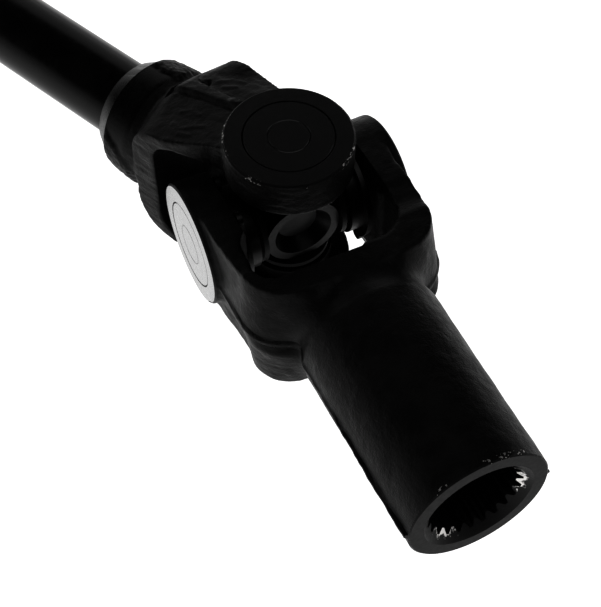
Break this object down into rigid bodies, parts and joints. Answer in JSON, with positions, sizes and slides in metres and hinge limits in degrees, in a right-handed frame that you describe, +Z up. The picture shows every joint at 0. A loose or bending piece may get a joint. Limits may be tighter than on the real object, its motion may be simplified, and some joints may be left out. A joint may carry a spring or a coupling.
{
  "type": "universal joint shaft",
  "caption": "Black forged universal joint shaft: a yoke with a serrated socket, a needle-bearing cross and a second yoke on a round shaft, shown bent.",
  "frame": {"origin": "centre of the mouth of the serrated socket in the splined yoke", "axes": "-Y points out of the socket along its axis, X is parallel to the first pivot (splined yoke to cross), +Z is up and near the second pivot"},
  "size_m": [0.1333, 0.3095, 0.0566],
  "materials": {
    "black_paint": "gloss",
    "shaft_paint": "gloss",
    "cup_paint": "gloss",
    "cross_steel": "satin",
    "bearing_steel": "polished",
    "washer_plastic": "matte",
    "spring_steel": "satin",
    "seal_rubber": "matte"
  },
  "bodies": {
    "socket_side": {"splined_yoke": "black_paint", "cup_left": "cup_paint", "needles_left": "bearing_steel", "thrust_washer_left": "washer_plastic", "snap_ring_left": "spring_steel", "cup_right": "cup_paint", "needles_right": "bearing_steel", "thrust_washer_right": "washer_plastic", "snap_ring_right": "spring_steel"},
    "cross": {"cross": "cross_steel", "seal_left": "seal_rubber", "seal_right": "seal_rubber", "seal_upper": "seal_rubber", "seal_lower": "seal_rubber"},
    "shaft_side": {"shaft_yoke": "black_paint", "shaft": "shaft_paint", "cup_upper": "cup_paint", "needles_upper": "bearing_steel", "thrust_washer_upper": "washer_plastic", "snap_ring_upper": "spring_steel", "cup_lower": "cup_paint", "needles_lower": "bearing_steel", "thrust_washer_lower": "washer_plastic", "snap_ring_lower": "spring_steel"}
  },
  "joints": [
    {"name": "first_pivot", "type": "hinge", "parent": "socket_side", "child": "cross", "pos_m": [0, 0.0953, 0], "axis": [1, 0, 0], "range_deg": [-35.8, 28.2]},
    {"name": "second_pivot", "type": "hinge", "parent": "cross", "child": "shaft_side", "pos_m": [0, 0.0953, 0], "axis": [0, -0.0663, 0.9978], "range_deg": [-56.7, 7.3]}
  ]
}
